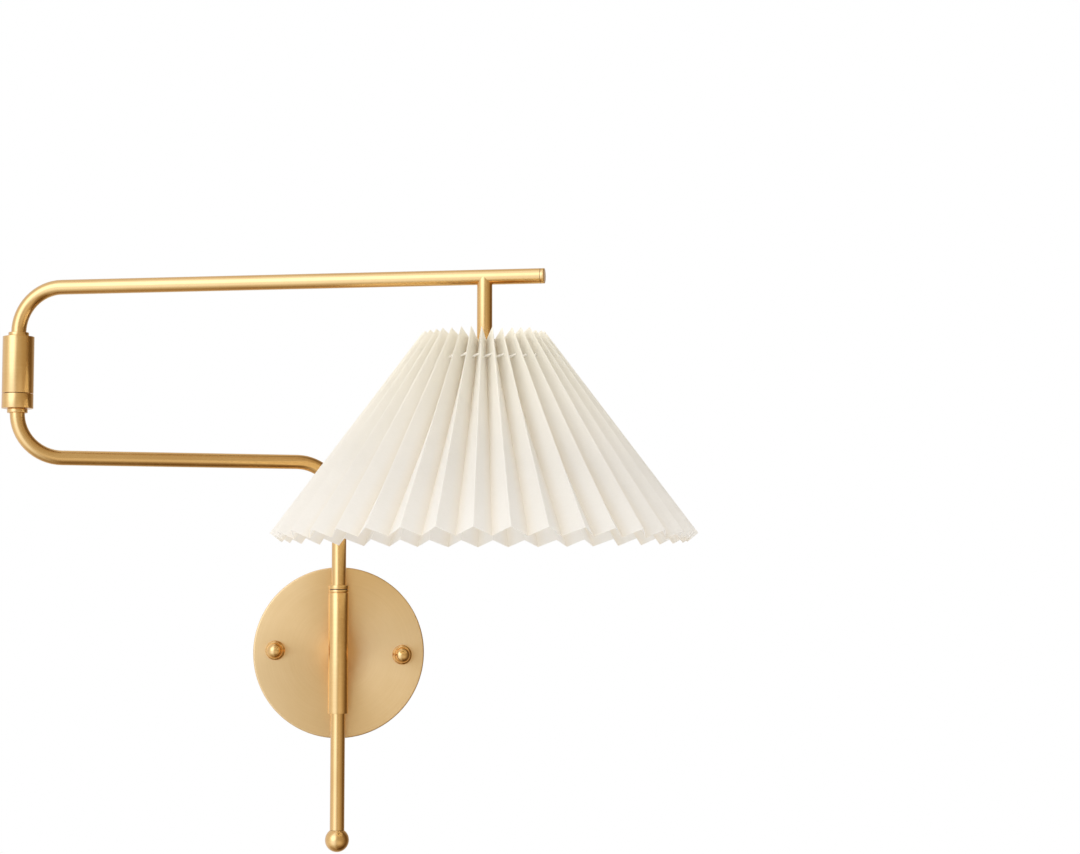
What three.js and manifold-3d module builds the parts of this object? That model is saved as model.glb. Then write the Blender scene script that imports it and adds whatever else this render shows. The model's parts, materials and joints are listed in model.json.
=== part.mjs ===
// Swing arm wall sconce with a pleated shade. Millimetres, +Z up. The wall is the plane y = 0 and the lamp
// stands out of it towards -Y. The origin is the middle of the wall bracket's back face.
import * as THREE from "three";
import { mergeVertices } from "three/addons/utils/BufferGeometryUtils.js";
import Module from "manifold-3d";

const wasm = await Module();
wasm.setup();

// ---------------------------------------------------------------- driving dimensions

const GAP = 0.3; // room left between pieces that touch
const EDGE = 0.3; // small chamfer on turned pieces

const SMALL_SIDES = 12; // how finely a round piece is faceted
const SIDES = 20;
const LARGE_SIDES = 24;
const CANOPY_SIDES = 40;
const WIRE_SIDES = 6;

const TUBE_R = 5;
const TUBE_BORE_R = 4;
const TUBE_SIDES = 16;
const BORE_SIDES = 8;
const BEND_R = 30; // centre line of every bend in the arms
const BEND_STEPS = 5;

const CANOPY_R = 60;
const CANOPY_DEPTH = 22;
const CANOPY_WALL = 1;
const CANOPY_EDGE = 1.1; // round of its rim
const PLATE_TILT = 2.1; // the wall plate hangs a little off level, in degrees, with its right side low
const STUD_X = 44.5; // half of the canopy's fixing pitch
const STUD_R = 2;
const STUD_FRONT = 31;
const BRACKET_THICK = 1.6;
const SHANK_R = 4.9; // threaded end of the standoff
const SHANK_BORE_R = 3;
const POST_Y = -46; // the swivel post's axis, in front of the wall

const SLEEVE_R = 7;
const SLEEVE_BORE_R = 6.3;
const SLEEVE_LOW = -41.5;
const SLEEVE_HIGH = 43.7;
const SWIVEL_WASHER_TOP = 44.9;
const STOP_COLLAR_TOP = 46.9;
const BUSH_LENGTH = 12;
const BALL_R = 8.3;
const BALL_Z = -128;
const POST_FOOT_Z = -121.2;

const LOWER_ARM_Z = 132.5;
const UPPER_ARM_Z = 247;
const LOWER_ARM_LENGTH = 220; // post axis to elbow axis
const STEM_X = 320; // elbow axis to shade axis
const UPPER_ARM_END = 357; // elbow axis to the upper tube's end

const REST_SWING = 11; // the lower arm off the wall at rest, in degrees
const REST_FOLD = 24.5; // angle between the two arms at rest, in degrees
const ELBOW_CLOSES = 1; // turn of the elbow from rest, in degrees
const ELBOW_OPENS = 311;

const ELBOW_R = 10.5;
const ELBOW_COLLAR_R = 6.8;
const RING_LOW = 165.3; // the elbow's lower ring
const RING_HIGH = 174.9;
const HOUSING_LOW = 175.7; // the elbow's upper housing
const HOUSING_HIGH = 213.9;
const HOUSING_BORE_R = 8.2;
const HOUSING_FLOOR = 3.2;
const NIPPLE_R = 4;
const STOP_PIN_R = 0.9;
const STOP_PIN_OUT = 7.4; // elbow axis to the stop pin

const PLEATS = 38;
const SHADE_TURN = 3.2; // where the first outer fold stands, in degrees
const SHADE_TOP = { outerR: 40.8, outerZ: -37.3, innerR: 29.9, innerZ: -45.5, thick: 1.0 };
const SHADE_FOOT = { outerR: 137, outerZ: -167.7, innerR: 130.2, innerZ: -172.9, thick: 0.5 };
const THREAD_RING_R = 34.6; // the thread's ring, just inside the folds
const THREAD_Z = -53;
const THREAD_R = 0.5;

const HOLDER_TOP = -53; // the lampholder, below the upper arm's centre line
const HOLDER_R = 19.2;
const GLOBE_R = 22.5;
const GLOBE_Z = -119.5;

// ---------------------------------------------------------------- materials

const finish = (color, roughness, metalness) =>
  new THREE.MeshStandardMaterial({ color, roughness, metalness });
const BRASS = finish(0xc9a264, 0.32, 1);
const PLATED_STEEL = finish(0xb9babc, 0.45, 1);
const PLEATED_PAPER = finish(0xf2ede2, 0.85, 0);
const THREAD = finish(0xf6f0df, 0.9, 0);
const WHITE_PLASTIC = finish(0xefece4, 0.5, 0);
const BLACK_NYLON = finish(0x241f1a, 0.6, 0);
const OPAL_GLASS = finish(0xf7f3ea, 0.25, 0);
const BLACK_WIRE = finish(0x1c1c1e, 0.5, 0);
const WHITE_WIRE = finish(0xe6e4de, 0.5, 0);
const GREEN_WIRE = finish(0x2f8f3c, 0.5, 0);
const CLEAR_LEAD = finish(0xd9c9a2, 0.4, 0);

// ---------------------------------------------------------------- shape helpers

const rad = THREE.MathUtils.degToRad;
const deg = THREE.MathUtils.radToDeg;
const v3 = (x, y, z) => new THREE.Vector3(x, y, z);

// A closed geometry as a manifold-3d solid with its faces turned out.
function solid(geometry) {
  const bare = geometry.index ? geometry.toNonIndexed() : geometry.clone();
  bare.deleteAttribute("normal");
  bare.deleteAttribute("uv");
  const merged = mergeVertices(bare);
  const position = merged.attributes.position;
  const [a, b, c] = [v3(), v3(), v3()];
  const triangles = [];
  let volume = 0;
  for (let i = 0; i < merged.index.count; i += 3) {
    const [ia, ib, ic] = merged.index.array.slice(i, i + 3);
    if (ia === ib || ib === ic || ia === ic) continue;
    triangles.push(ia, ib, ic);
    a.fromBufferAttribute(position, ia);
    b.fromBufferAttribute(position, ib);
    c.fromBufferAttribute(position, ic);
    volume += a.dot(b.cross(c));
  }
  if (volume < 0) triangles.reverse();
  const vertProperties = new Float32Array(position.array);
  const triVerts = new Uint32Array(triangles);
  return new wasm.Manifold(new wasm.Mesh({ numProp: 3, vertProperties, triVerts }));
}

// A manifold-3d solid, or a closed geometry, as a named mesh.
function piece(name, shape, material) {
  const made = (shape.isBufferGeometry ? solid(shape) : shape).getMesh();
  const geometry = new THREE.BufferGeometry();
  geometry.setAttribute("position", new THREE.BufferAttribute(made.vertProperties, made.numProp));
  geometry.setIndex(new THREE.BufferAttribute(made.triVerts, 1));
  geometry.computeVertexNormals();
  const mesh = new THREE.Mesh(geometry, material);
  mesh.name = name;
  return mesh;
}

// A body turned about Z from [radius, height] points: the outline starts on the axis or closes on itself.
function turned(outline, sides = SIDES) {
  const points = outline.map(([r, z]) => new THREE.Vector2(r, z));
  if (outline[0][0] > 0) points.push(points[0].clone());
  return new THREE.LatheGeometry(points, sides).rotateX(Math.PI / 2);
}

const ring = (inner, outer, low, high, sides) =>
  turned([[inner, low], [outer, low], [outer, high], [inner, high]], sides);

const rod = (radius, low, high, sides) =>
  turned([[0, low], [radius, low], [radius, high], [0, high]], sides);

// Heights along Z become depths along Y.
const alongY = (geometry) => geometry.rotateX(-Math.PI / 2);

// The radius of a faceted bore that a round piece of this radius just clears.
const boreFor = (radius, sides) => radius / Math.cos(Math.PI / sides);

const circle = (radius, sides) =>
  Array.from({ length: sides }, (_, i) => {
    const turn = (2 * Math.PI * i) / sides;
    return new THREE.Vector2(radius * Math.cos(turn), radius * Math.sin(turn));
  });

// Outline points on an arc about [r, z], between two angles in degrees.
const arc = (r, z, radius, from, to, steps) =>
  Array.from({ length: steps + 1 }, (_, i) => {
    const turn = rad(from + ((to - from) * i) / steps);
    return [r + radius * Math.cos(turn), z + radius * Math.sin(turn)];
  });

// Straight runs between corners, with a round bend at each corner. It has stations only where it turns.
class BentPath extends THREE.Curve {
  constructor(corners, bendRadius = BEND_R) {
    super();
    const way = (i) => corners[i + 1].clone().sub(corners[i]).normalize();
    this.stations = [{ point: corners[0], tangent: way(0) }];
    for (let i = 1; i < corners.length - 1; i++) this.addBend(corners[i], way(i - 1), way(i), bendRadius);
    this.stations.push({ point: corners.at(-1), tangent: way(corners.length - 2) });
  }

  addBend(corner, into, out, radius) {
    const turn = into.angleTo(out);
    const side = out.clone().addScaledVector(into, -out.dot(into)).normalize();
    const start = corner.clone().addScaledVector(into, -radius * Math.tan(turn / 2));
    for (let k = 0; k <= BEND_STEPS; k++) {
      const t = (turn * k) / BEND_STEPS;
      const point = start.clone().addScaledVector(into, radius * Math.sin(t));
      point.addScaledVector(side, radius * (1 - Math.cos(t)));
      const tangent = into.clone().multiplyScalar(Math.cos(t)).addScaledVector(side, Math.sin(t));
      this.stations.push({ point, tangent });
    }
  }

  station(u) {
    return this.stations[Math.round(u * (this.stations.length - 1))];
  }

  getPointAt(u, target = v3()) {
    return target.copy(this.station(u).point);
  }

  getTangentAt(u, target = v3()) {
    return target.copy(this.station(u).tangent);
  }
}

function pipe(path) {
  const section = new THREE.Shape(circle(TUBE_R, TUBE_SIDES));
  section.holes.push(new THREE.Path(circle(TUBE_BORE_R, BORE_SIDES)));
  return new THREE.ExtrudeGeometry(section, { steps: path.stations.length - 1, extrudePath: path });
}

// A lead inside the tubes, along the same bends.
function leadAlong(path, radius = 1.4) {
  const section = new THREE.Shape(circle(radius, WIRE_SIDES));
  return new THREE.ExtrudeGeometry(section, { steps: path.stations.length - 1, extrudePath: path });
}

function wire(points, radius = 0.9, steps = 14) {
  const route = new THREE.CatmullRomCurve3(points.map((point) => v3(...point)));
  const section = new THREE.Shape(circle(radius, WIRE_SIDES));
  return new THREE.ExtrudeGeometry(section, { steps, extrudePath: route });
}

function hexNut(acrossFlats, boreR, low, high) {
  const outline = new THREE.Shape(circle(acrossFlats / Math.sqrt(3), 6));
  outline.holes.push(new THREE.Path(circle(boreR, SMALL_SIDES)));
  return new THREE.ExtrudeGeometry(outline, { depth: high - low, bevelEnabled: false }).translate(0, 0, low);
}

// ---------------------------------------------------------------- wall mount

function canopy() {
  const edge = CANOPY_EDGE;
  const holeR = SHANK_R + 0.5;
  const [front, inside] = [-CANOPY_DEPTH, -CANOPY_DEPTH + CANOPY_WALL];
  const shell = turned([
    [CANOPY_R, 0],
    ...arc(CANOPY_R - edge, front + edge, edge, 0, -90, 3),
    [holeR, front],
    [holeR, inside],
    [CANOPY_R - edge, inside],
    [CANOPY_R - CANOPY_WALL, front + edge],
    [CANOPY_R - CANOPY_WALL, 0],
  ], CANOPY_SIDES);
  const studHole = alongY(rod(STUD_R + 0.5, front - 1, inside + 1, SMALL_SIDES));
  const cut = (x) => solid(studHole.clone().translate(x, 0, 0));
  return solid(alongY(shell)).subtract(cut(STUD_X)).subtract(cut(-STUD_X));
}

function wallBracket() {
  const [half, tallHalf, slotX, slotHalf, slotR] = [52, 9, 30, 6, 2.3];
  const slotted = (shape, x, reach, r) => {
    shape.absarc(x + reach, 0, r, -Math.PI / 2, Math.PI / 2);
    return shape.absarc(x - reach, 0, r, Math.PI / 2, (3 * Math.PI) / 2);
  };
  const strap = slotted(new THREE.Shape(), 0, half - tallHalf, tallHalf);
  for (const side of [-1, 1]) {
    strap.holes.push(slotted(new THREE.Path(), side * slotX, slotHalf, slotR));
    strap.holes.push(new THREE.Path().absarc(side * STUD_X, 0, STUD_R + GAP, 0, 2 * Math.PI));
  }
  const options = { depth: BRACKET_THICK, bevelEnabled: false, curveSegments: 6 };
  return new THREE.ExtrudeGeometry(strap, options).rotateX(Math.PI / 2);
}

const bracketStud = (x) => alongY(rod(STUD_R, -STUD_FRONT, -GAP, SMALL_SIDES)).translate(x, 0, 0);

// A ball on a short round skirt, bored for the stud.
function capNut(x) {
  const back = -CANOPY_DEPTH - GAP;
  const [skirtR, neckR, ballR] = [6.8, 4.9, 5.6];
  const ballY = back - 7.6;
  const shape = turned([
    [STUD_R + GAP, back],
    [skirtR, back],
    [skirtR, back - 2.8],
    [skirtR - 0.8, back - 3.6],
    [neckR, back - 4.2],
    ...arc(0, ballY, ballR, 20, -90, 5),
    [0, -STUD_FRONT - GAP],
    [STUD_R + GAP, -STUD_FRONT - GAP],
  ]);
  return alongY(shape).translate(x, 0, 0);
}

// A spacer coped to the sleeve, with a threaded shank through the canopy and a bore for the leads.
function standoff() {
  const flange = -CANOPY_DEPTH - GAP;
  const [flangeR, bodyR, front] = [6.6, 5.6, POST_Y + 2];
  const shape = turned([
    [SHANK_BORE_R, -12.5],
    [SHANK_R, -12.5],
    [SHANK_R, flange],
    [flangeR, flange],
    [flangeR, flange - 2],
    [bodyR, flange - 2.6],
    [bodyR, front],
    [SHANK_BORE_R, front],
  ]);
  const cope = rod(SLEEVE_R + GAP, -20, 20, LARGE_SIDES).translate(0, POST_Y, 0);
  return solid(alongY(shape)).subtract(solid(cope));
}

const standoffWasher = () => alongY(ring(SHANK_R + GAP, 8.6, -20.7, -19.2));

const standoffNut = () => alongY(hexNut(15, SHANK_R + GAP, -18.9, -14.9));

// A groove near the top sets off a thin band. The hole in the side lets the leads in.
function sleeve() {
  const groove = SLEEVE_HIGH - 1.8;
  const body = turned([
    [SLEEVE_BORE_R, SLEEVE_LOW],
    [SLEEVE_R - EDGE, SLEEVE_LOW],
    [SLEEVE_R, SLEEVE_LOW + EDGE],
    [SLEEVE_R, groove - EDGE],
    [SLEEVE_R - EDGE, groove],
    [SLEEVE_R, groove + EDGE],
    [SLEEVE_R, SLEEVE_HIGH - EDGE],
    [SLEEVE_R - EDGE, SLEEVE_HIGH],
    [SLEEVE_BORE_R, SLEEVE_HIGH],
  ], LARGE_SIDES);
  const leadHole = alongY(rod(SHANK_BORE_R, 0, 2 * SLEEVE_R, SMALL_SIDES));
  return solid(body).subtract(solid(leadHole)).translate(0, POST_Y, 0);
}

// The bushes at the sleeve's two ends, which the post turns in.
function sleeveBush(foot) {
  const bore = boreFor(TUBE_R + 0.15, LARGE_SIDES);
  return ring(bore, SLEEVE_BORE_R - 0.25, foot, foot + BUSH_LENGTH, LARGE_SIDES).translate(0, POST_Y, 0);
}

const CONNECTOR_X = 15.4;
const CONNECTOR_Y = -9;
const LEAD_END_Y = POST_Y + SLEEVE_BORE_R - 0.2; // in the sleeve, beside the post

function wireConnector(x) {
  const cap = turned([
    [1.9, 0],
    [5.4, 0],
    [4.9, 8],
    [3, 16],
    [0, 17.6],
    [0, 8],
    [1.9, 8],
  ], SMALL_SIDES);
  return cap.translate(x, CONNECTOR_Y, 14);
}

const mainsLead = (side) =>
  wire([
    [side * 1.5, LEAD_END_Y, 0.9],
    [side * 1.5, -24, 0.9],
    [side * 1.5, -12, 0.9],
    [side * 8, -7, 3],
    [side * 15, CONNECTOR_Y, 9],
    [side * CONNECTOR_X, CONNECTOR_Y, 14],
    [side * CONNECTOR_X, CONNECTOR_Y, 20],
  ]);

const groundLead = () =>
  wire([
    [0, LEAD_END_Y, -1.6],
    [0, -24, -1.6],
    [0, -12, -1.6],
    [4, -7, -5],
    [10, -5, -8],
    [14, -3.4, -4.8],
  ]);

function groundScrew() {
  const head = turned([[0, -4], [2.6, -4], [3.4, -3.2], [3.4, -1.9], [0, -1.9]], SMALL_SIDES);
  return alongY(head).translate(14, 0, 0);
}

// What the wall carries: the canopy held to its bracket by two studs and cap nuts.
function wallPlate() {
  const plate = new THREE.Group();
  plate.rotation.y = rad(PLATE_TILT);
  plate.add(
    piece("canopy", canopy(), BRASS),
    piece("wall_bracket", wallBracket(), PLATED_STEEL),
    piece("bracket_stud_left", bracketStud(-STUD_X), PLATED_STEEL),
    piece("bracket_stud_right", bracketStud(STUD_X), PLATED_STEEL),
    piece("cap_nut_left", capNut(-STUD_X), BRASS),
    piece("cap_nut_right", capNut(STUD_X), BRASS),
  );
  return plate;
}

function wallMount() {
  const group = new THREE.Group();
  group.add(
    wallPlate(),
    piece("standoff", standoff(), BRASS),
    piece("standoff_washer", standoffWasher(), PLATED_STEEL),
    piece("standoff_nut", standoffNut(), PLATED_STEEL),
    piece("swivel_sleeve", sleeve(), BRASS),
    piece("sleeve_bush_top", sleeveBush(SLEEVE_HIGH - 0.2 - BUSH_LENGTH), BLACK_NYLON),
    piece("sleeve_bush_bottom", sleeveBush(SLEEVE_LOW + 0.2), BLACK_NYLON),
    piece("live_lead", mainsLead(-1), BLACK_WIRE),
    piece("neutral_lead", mainsLead(1), WHITE_WIRE),
    piece("live_connector", wireConnector(-CONNECTOR_X), BLACK_NYLON),
    piece("neutral_connector", wireConnector(CONNECTOR_X), BLACK_NYLON),
    piece("ground_lead", groundLead(), GREEN_WIRE),
    piece("ground_screw", groundScrew(), GREEN_WIRE),
  );
  return group;
}

// ---------------------------------------------------------------- lower arm: +X runs from post to elbow

// One bent tube: swivel post, bend, arm and upturned end. A window in the post lets the lead through.
function lowerTube() {
  const path = new BentPath([
    v3(0, 0, POST_FOOT_Z),
    v3(0, 0, LOWER_ARM_Z),
    v3(LOWER_ARM_LENGTH, 0, LOWER_ARM_Z),
    v3(LOWER_ARM_LENGTH, 0, RING_LOW + 5.5),
  ]);
  const window = new THREE.BoxGeometry(2 * TUBE_R, 3 * TUBE_R, 14).translate(-TUBE_R - 1.5, 0, 0);
  return solid(pipe(path)).subtract(solid(window));
}

function lowerLead() {
  const inside = (x, z) => v3(x, 0, z);
  return leadAlong(new BentPath([
    inside(0, -6),
    inside(0, LOWER_ARM_Z),
    inside(LOWER_ARM_LENGTH, LOWER_ARM_Z),
    inside(LOWER_ARM_LENGTH, 194),
  ]));
}

// A ball with a plug that fills the tube's foot.
function ballFinial() {
  const seatR = TUBE_R + 0.2;
  const plugR = 3.4;
  const seat = deg(Math.acos(seatR / BALL_R));
  return turned([
    ...arc(0, BALL_Z, BALL_R, -90, seat, 8),
    [plugR, POST_FOOT_Z - GAP],
    [plugR, POST_FOOT_Z + 8],
    [0, POST_FOOT_Z + 8],
  ]);
}

// A ring round a tube with chamfered outer edges.
const tubeCollar = (outer, low, high) =>
  turned([
    [TUBE_R + 0.2, low],
    [outer - EDGE, low],
    [outer, low + EDGE],
    [outer, high - EDGE],
    [outer - EDGE, high],
    [TUBE_R + 0.2, high],
  ], LARGE_SIDES);

// The still half of the elbow: a socket for the tube, a web bored for the nipple and a stop pin hole.
function elbowRing() {
  const web = RING_LOW + 6;
  const body = turned([
    [TUBE_R + 0.2, RING_LOW],
    [ELBOW_R - EDGE, RING_LOW],
    [ELBOW_R, RING_LOW + EDGE],
    [ELBOW_R, RING_HIGH - EDGE],
    [ELBOW_R - EDGE, RING_HIGH],
    [NIPPLE_R + 0.2, RING_HIGH],
    [NIPPLE_R + 0.2, web],
    [TUBE_R + 0.2, web],
  ], LARGE_SIDES);
  const pinHole = rod(STOP_PIN_R + GAP, RING_HIGH - 3, RING_HIGH + 1, SMALL_SIDES);
  return solid(body).subtract(solid(pinHole.translate(STOP_PIN_OUT, 0, 0)));
}

const stopPin = () =>
  rod(STOP_PIN_R, RING_HIGH - 2.7, RING_HIGH + 2.3, SMALL_SIDES).translate(STOP_PIN_OUT, 0, 0);

const swivelWasher = () => ring(TUBE_R + 0.2, SLEEVE_R - 0.9, SLEEVE_HIGH + 0.2, SWIVEL_WASHER_TOP);

const thrustWasher = () => ring(NIPPLE_R + GAP, 5.8, RING_HIGH + 0.1, RING_HIGH + 0.6);

function lowerArm() {
  const group = new THREE.Group();
  group.position.y = POST_Y;
  group.rotation.z = rad(180 + REST_SWING);
  group.add(
    piece("lower_tube", lowerTube(), BRASS),
    piece("ball_finial", ballFinial(), BRASS),
    piece("swivel_washer", swivelWasher(), BLACK_NYLON),
    piece("stop_collar", tubeCollar(SLEEVE_R, SWIVEL_WASHER_TOP + 0.2, STOP_COLLAR_TOP), BRASS),
    piece("lower_lead", lowerLead(), CLEAR_LEAD),
  );

  const elbow = new THREE.Group();
  const floor = HOUSING_LOW + HOUSING_FLOOR;
  elbow.position.x = LOWER_ARM_LENGTH;
  elbow.add(
    piece("elbow_lower_collar", tubeCollar(ELBOW_COLLAR_R, RING_LOW - 3, RING_LOW - 0.2), BRASS),
    piece("elbow_ring", elbowRing(), BRASS),
    piece("elbow_thrust_washer", thrustWasher(), BLACK_NYLON),
    piece("elbow_nipple", ring(2.5, NIPPLE_R, RING_LOW + 6.3, 190, SMALL_SIDES), PLATED_STEEL),
    piece("elbow_spring_washer", ring(NIPPLE_R + 0.2, 6.8, floor + 0.2, floor + 1.2), PLATED_STEEL),
    piece("elbow_nut", hexNut(12.6, NIPPLE_R + 0.2, floor + 1.5, floor + 6), PLATED_STEEL),
    piece("elbow_stop_pin", stopPin(), PLATED_STEEL),
  );
  group.add(elbow);
  return { group, elbow };
}

// ---------------------------------------------------------------- upper arm: +X runs from elbow to shade

function upperTube() {
  const path = new BentPath([
    v3(0, 0, HOUSING_HIGH - 7),
    v3(0, 0, UPPER_ARM_Z),
    v3(UPPER_ARM_END, 0, UPPER_ARM_Z),
  ]);
  const leadHole = rod(3.2, -2 * TUBE_R, 0, SMALL_SIDES).translate(STEM_X, 0, UPPER_ARM_Z);
  return solid(pipe(path)).subtract(solid(leadHole));
}

// The groove in the housing's floor that the stop pin runs in.
function stopGroove() {
  const reach = STOP_PIN_R + 0.4;
  const room = deg(reach / STOP_PIN_OUT);
  const pin = 180 + REST_FOLD;
  const [from, to] = [rad(pin - ELBOW_CLOSES - room), rad(pin + ELBOW_OPENS + room)];
  const outline = new THREE.Shape();
  outline.absarc(0, 0, STOP_PIN_OUT + reach, from, to, false);
  outline.absarc(0, 0, STOP_PIN_OUT - reach, to, from, true);
  const options = { depth: 2.6, bevelEnabled: false, curveSegments: SIDES };
  return new THREE.ExtrudeGeometry(outline, options).translate(0, 0, HOUSING_LOW - 0.6);
}

// The turning half of the elbow: a cup whose floor is bored for the nipple.
function elbowHousing() {
  const floor = HOUSING_LOW + HOUSING_FLOOR;
  const cup = turned([
    [NIPPLE_R + GAP, HOUSING_LOW],
    [ELBOW_R - EDGE, HOUSING_LOW],
    [ELBOW_R, HOUSING_LOW + EDGE],
    [ELBOW_R, HOUSING_HIGH - EDGE],
    [ELBOW_R - EDGE, HOUSING_HIGH],
    [HOUSING_BORE_R, HOUSING_HIGH],
    [HOUSING_BORE_R, floor],
    [NIPPLE_R + GAP, floor],
  ], LARGE_SIDES);
  return solid(cup).subtract(solid(stopGroove()));
}

const elbowPlug = () =>
  ring(TUBE_R + 0.2, HOUSING_BORE_R - 0.3, HOUSING_HIGH - 8, HOUSING_HIGH - 0.1, LARGE_SIDES);

const upperCollar = () => tubeCollar(ELBOW_COLLAR_R, HOUSING_HIGH + 0.2, HOUSING_HIGH + 2.9);

function armEndCap() {
  const plugR = 3.4;
  const cap = turned([
    [0, -6],
    [plugR, -6],
    [plugR, GAP],
    [TUBE_R, GAP],
    [TUBE_R, 2.4],
    [TUBE_R - EDGE, 2.7],
    [0, 2.7],
  ]);
  return cap.rotateY(Math.PI / 2).translate(UPPER_ARM_END, 0, UPPER_ARM_Z);
}

const upperLead = () =>
  leadAlong(new BentPath([v3(0, 0, 197), v3(0, 0, UPPER_ARM_Z), v3(STEM_X - 20, 0, UPPER_ARM_Z)]));

// ---------------------------------------------------------------- lamp head: z = 0 is the upper arm's axis

const STEM_FOOT = -43;

// The short drop tube, coped to the arm.
function shadeStem() {
  const tube = ring(TUBE_BORE_R - 0.5, TUBE_R, STEM_FOOT, -1);
  const cope = rod(TUBE_R + 0.25, -20, 20, LARGE_SIDES).rotateY(Math.PI / 2);
  return solid(tube).subtract(solid(cope));
}

const stemLead = () => leadAlong(new BentPath([v3(-19.5, 0, 0), v3(0, 0, 0), v3(0, 0, -59)], 6));

// A spun cap over the lampholder: a collar round the stem, a cone and a skirt.
function socketCap() {
  const wall = 1.5;
  const [skirtFoot, coneFoot, coneTop] = [HOLDER_TOP - 2.7, HOLDER_TOP + 1, STEM_FOOT - 2.4];
  const [collarR, skirtR] = [7.6, HOLDER_R + 0.5];
  return turned([
    [TUBE_R + GAP, STEM_FOOT + 2],
    [TUBE_R + GAP, coneTop],
    [skirtR - 1.6, coneFoot + 1.6],
    [skirtR, coneFoot],
    [skirtR, skirtFoot],
    [skirtR + wall, skirtFoot],
    [skirtR + wall, coneFoot + 0.5],
    [skirtR - 1.2, coneFoot + 1.6 + wall],
    [collarR, coneTop + wall],
    [collarR, STEM_FOOT + 2],
  ], LARGE_SIDES);
}

const SHELL_TOP = HOLDER_TOP - 11;
const SHELL_FOOT = HOLDER_TOP - 38;

// The insulating body. Its thicker upper half is threaded for the ring nut.
function lampholder() {
  const [wellR, foot, step] = [14.4, HOLDER_TOP - 40, HOLDER_TOP - 27];
  return turned([
    [2.6, HOLDER_TOP],
    [HOLDER_R, HOLDER_TOP],
    [HOLDER_R, step],
    [HOLDER_R - 1, step - 1],
    [HOLDER_R - 1, foot],
    [wellR, foot],
    [wellR, HOLDER_TOP - 9],
    [2.6, HOLDER_TOP - 9],
  ], LARGE_SIDES);
}

const CARRIER_LOW = HOLDER_TOP - 4.7;

// A flat ring inside the shade's top, on three spokes from a hub that the ring nut clamps.
function shadeCarrier() {
  const [hubIn, hubOut, rimIn, rimOut] = [HOLDER_R + 0.5, 23.6, 33.9, 36.9];
  const [spokes, spokeHalf] = [3, 2.6];
  const plate = new THREE.Shape(circle(rimOut, LARGE_SIDES));
  plate.holes.push(new THREE.Path(circle(hubIn, LARGE_SIDES)));
  for (let i = 0; i < spokes; i++) {
    const [from, to] = [(2 * Math.PI * i) / spokes, (2 * Math.PI * (i + 1)) / spokes];
    const edge = (r) => Math.asin(spokeHalf / r);
    const window = new THREE.Path();
    window.absarc(0, 0, rimIn, from + edge(rimIn), to - edge(rimIn), false);
    window.absarc(0, 0, hubOut, to - edge(hubOut), from + edge(hubOut), true);
    plate.holes.push(window);
  }
  const options = { depth: 1.6, bevelEnabled: false, curveSegments: 8 };
  return new THREE.ExtrudeGeometry(plate, options).translate(0, 0, CARRIER_LOW);
}

const shadeRingNut = () => ring(HOLDER_R + 0.5, 23.4, CARRIER_LOW - 5.3, CARRIER_LOW - GAP, LARGE_SIDES);

function bulbBase() {
  const [top, tipR, shoulderR, threadR] = [SHELL_TOP - 1, 3.6, 11.6, 13];
  return turned([
    [0, top],
    [tipR, top],
    [tipR + 1.4, top - 2],
    [shoulderR, top - 5],
    [threadR, top - 6.5],
    [threadR, SHELL_FOOT - 2.4],
    [0, SHELL_FOOT - 2.4],
  ]);
}

const NECK_TOP = SHELL_FOOT - 2.8;

function bulbGlass() {
  const [wall, neckR] = [0.9, 11.9];
  const shoulder = deg(Math.acos(neckR / GLOBE_R));
  return turned([
    [neckR - wall, NECK_TOP],
    [neckR, NECK_TOP],
    ...arc(0, GLOBE_Z, GLOBE_R, shoulder, -90, 7),
    ...arc(0, GLOBE_Z, GLOBE_R - wall, -90, shoulder, 6),
  ]);
}

// One corner of the folded strip. Even folds stand out and odd ones stand in; side +1 is the outer face.
function foldCorner(index, edge, side) {
  const outward = index % 2 === 0;
  const turn = rad(SHADE_TURN + (180 * index) / PLEATS);
  const radius = (outward ? edge.outerR : edge.innerR) + (side * edge.thick) / 2;
  return v3(radius * Math.cos(turn), radius * Math.sin(turn), outward ? edge.outerZ : edge.innerZ);
}

// Both faces of a panel are split along the same diagonal, so the sheet keeps its thickness.
function foldedSheet() {
  const folds = 2 * PLEATS;
  const row = (edge, side) => Array.from({ length: folds }, (_, i) => foldCorner(i, edge, side));
  const [topOut, footOut, topIn, footIn] = [
    row(SHADE_TOP, 1), row(SHADE_FOOT, 1), row(SHADE_TOP, -1), row(SHADE_FOOT, -1),
  ];
  const points = [];
  const panel = (upper, lower, i, j) => [upper[i], lower[i], lower[j], upper[i], lower[j], upper[j]];
  for (let i = 0; i < folds; i++) {
    const j = (i + 1) % folds;
    points.push(...panel(topOut, footOut, i, j));
    points.push(...panel(topIn, footIn, i, j).reverse());
    points.push(...panel(footOut, footIn, i, j));
    points.push(...panel(topIn, topOut, i, j));
  }
  return new THREE.BufferGeometry().setFromPoints(points);
}

const threadRing = () => turned(arc(THREAD_RING_R, THREAD_Z, THREAD_R, 0, 270, 3), PLEATS);

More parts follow.
